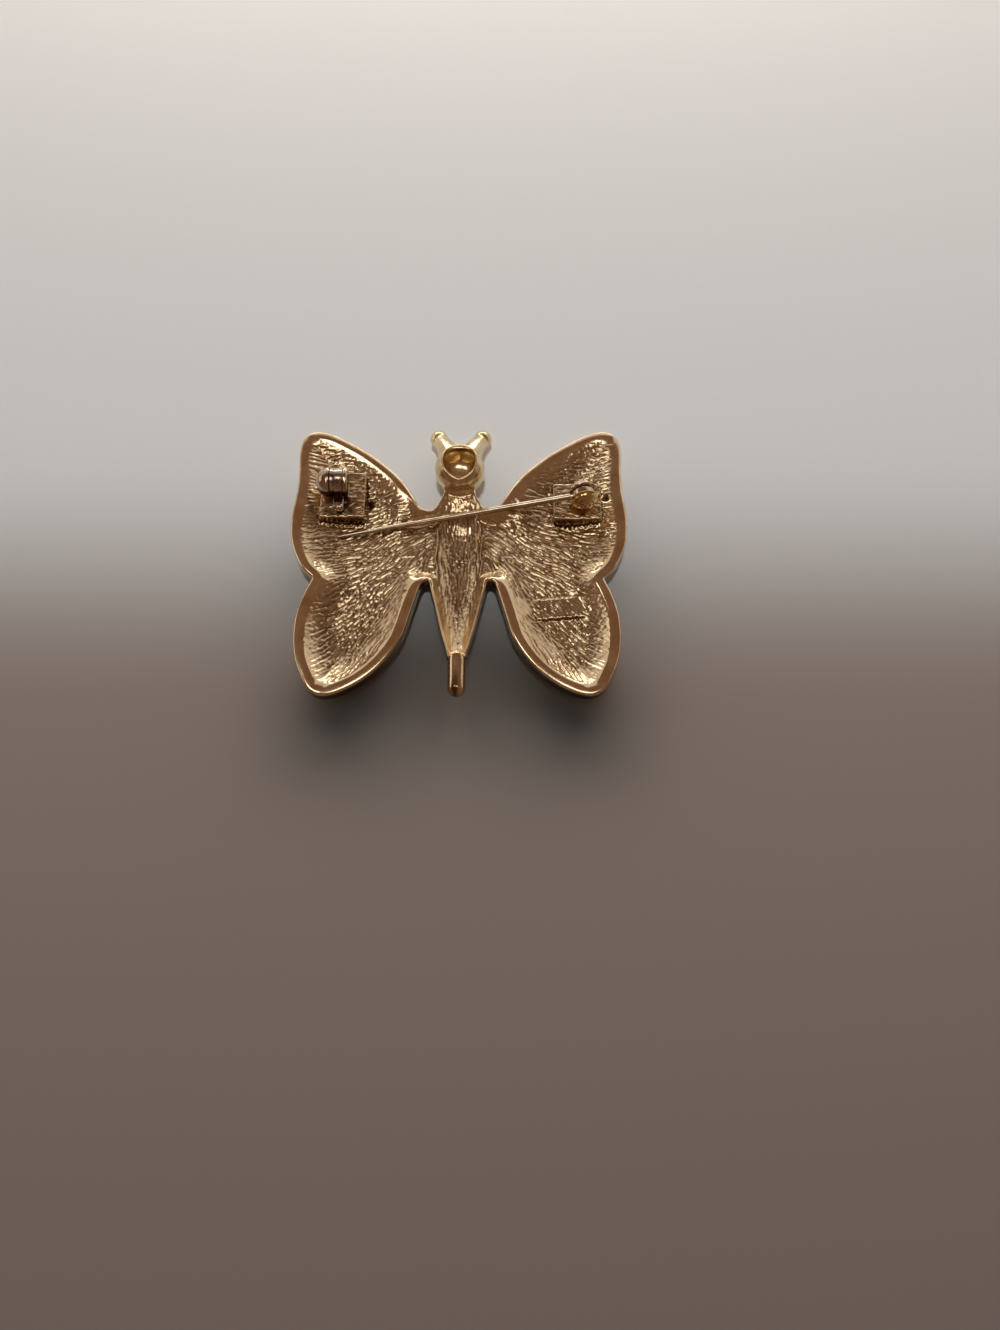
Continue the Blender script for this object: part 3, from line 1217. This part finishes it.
# %% [markdown]
# The left cheek is a dome with a flat face towards the lock, the right one a
# thin disc. Each has a round seat in which the lock's end turns, and both stand
# on feet that are soldered to the plate.

# %% Housing
# radii of the housing, of the wire's way through it and of the lock's seats
HOUSING, WAY, SEAT = 2.05, 0.65, 1.27
MOUTH_HALF, CHEEK_FACE, SEAT_END = 0.64, 0.95, 1.25
FOOT_HALF, FOOT_LOW, FOOT_HIGH = 1.3, -2.3, -0.72


def seated_face(way, bevel_end, outer_at_seat):
    """Rows from a cheek's face, over its broken edge, to the bottom of the lock's seat."""
    return [
        (way * CHEEK_FACE, HOUSING - 0.12, SEAT + 0.05, MOUTH_HALF + 0.08),
        (way * (CHEEK_FACE + 0.03), HOUSING - 0.03, SEAT, MOUTH_HALF + 0.02),
        (way * bevel_end, HOUSING, SEAT, MOUTH_HALF),
        (way * SEAT_END, outer_at_seat, SEAT, MOUTH_HALF),
        (way * SEAT_END, outer_at_seat, WAY, MOUTH_HALF),
    ]


left_cheek = seated_face(-1, 1.07, HOUSING - 0.02)
for t in np.linspace(0.2, 1.12, 15):
    outer = HOUSING * math.cos(t)
    left_cheek.append((-CHEEK_FACE - HOUSING * math.sin(t), outer, WAY, min(MOUTH_HALF, 0.97 * outer)))
left_cheek.append((-CHEEK_FACE - HOUSING * 0.925, 0.76, WAY + 0.04, MOUTH_HALF))
right_cheek = seated_face(1, 1.05, HOUSING) + [
    (1.36, HOUSING, WAY, MOUTH_HALF),
    (1.44, HOUSING - 0.04, WAY, MOUTH_HALF),
    (1.49, HOUSING - 0.13, WAY + 0.04, MOUTH_HALF + 0.04),
    (1.50, HOUSING - 0.24, WAY + 0.1, MOUTH_HALF + 0.08),
]
housing = [mouthed_loft(left_cheek[::-1]), mouthed_loft(right_cheek)]
for left, right in ((-2.15, -SEAT_END), (SEAT_END, 1.48)):
    low, high = (left, -FOOT_HALF, FOOT_LOW), (right, FOOT_HALF, FOOT_HIGH)
    housing.append(rounded_box(CATCH_MIDDLE + low, CATCH_MIDDLE + high, 0.1))
finished("catch_housing", housing, "brooch", "casting", finding_gold)
soldered_plate("catch_plate", (-19.2, 5.65, 1.0), (-13.0, 12.85, 2.95))

# %% [markdown]
# The lock's barrel has a thin groove round it and a narrower end in each seat.
# Its lever is the finger piece that turns it, a flat arm with a small ball.

# %% Lock
# radii of the lock's ends, of its barrel and of the ball on its lever
JOURNAL, BARREL, LEVER_BALL = 1.2, 1.95, 0.5
LEVER_LOW, LEVER_HIGH, LEVER_END = (-0.6, -3.35, -1.3), (0.85, -1.0, -0.75), (0.4, -3.35, -1.0)
end_rows = [
    (-1.2, JOURNAL - 0.05, WAY + 0.03), (-1.18, JOURNAL, WAY), (-0.92, JOURNAL, WAY), (-0.9, JOURNAL, WAY),
    (-0.9, BARREL - 0.15, WAY), (-0.87, BARREL - 0.05, WAY), (-0.8, BARREL, WAY),
]
groove_rows = [
    (-0.42, BARREL, WAY), (-0.36, BARREL - 0.03, WAY), (-0.32, BARREL - 0.13, WAY),
    (-0.28, BARREL - 0.13, WAY), (-0.24, BARREL - 0.03, WAY), (-0.18, BARREL, WAY),
]
lock_rows = end_rows + groove_rows + other_end(end_rows)
barrel = mouthed_loft([(*row, MOUTH_HALF) for row in lock_rows])
lever = rounded_box(CATCH_MIDDLE + LEVER_LOW, CATCH_MIDDLE + LEVER_HIGH, 0.16, 0.3)
half_turn = np.linspace(0, math.pi, 13)[1:-1]
ball_rows = [(-LEVER_BALL * math.cos(t), LEVER_BALL * math.sin(t)) for t in half_turn]
ball_rows = [(-LEVER_BALL, 0), *ball_rows, (LEVER_BALL, 0)]
lever_ball = turned(ball_rows, CATCH_MIDDLE + LEVER_END, (0, 0, 1), 28)
finished("lock", [barrel, lever, lever_ball], "lock", "catch_lock", lock_gold)
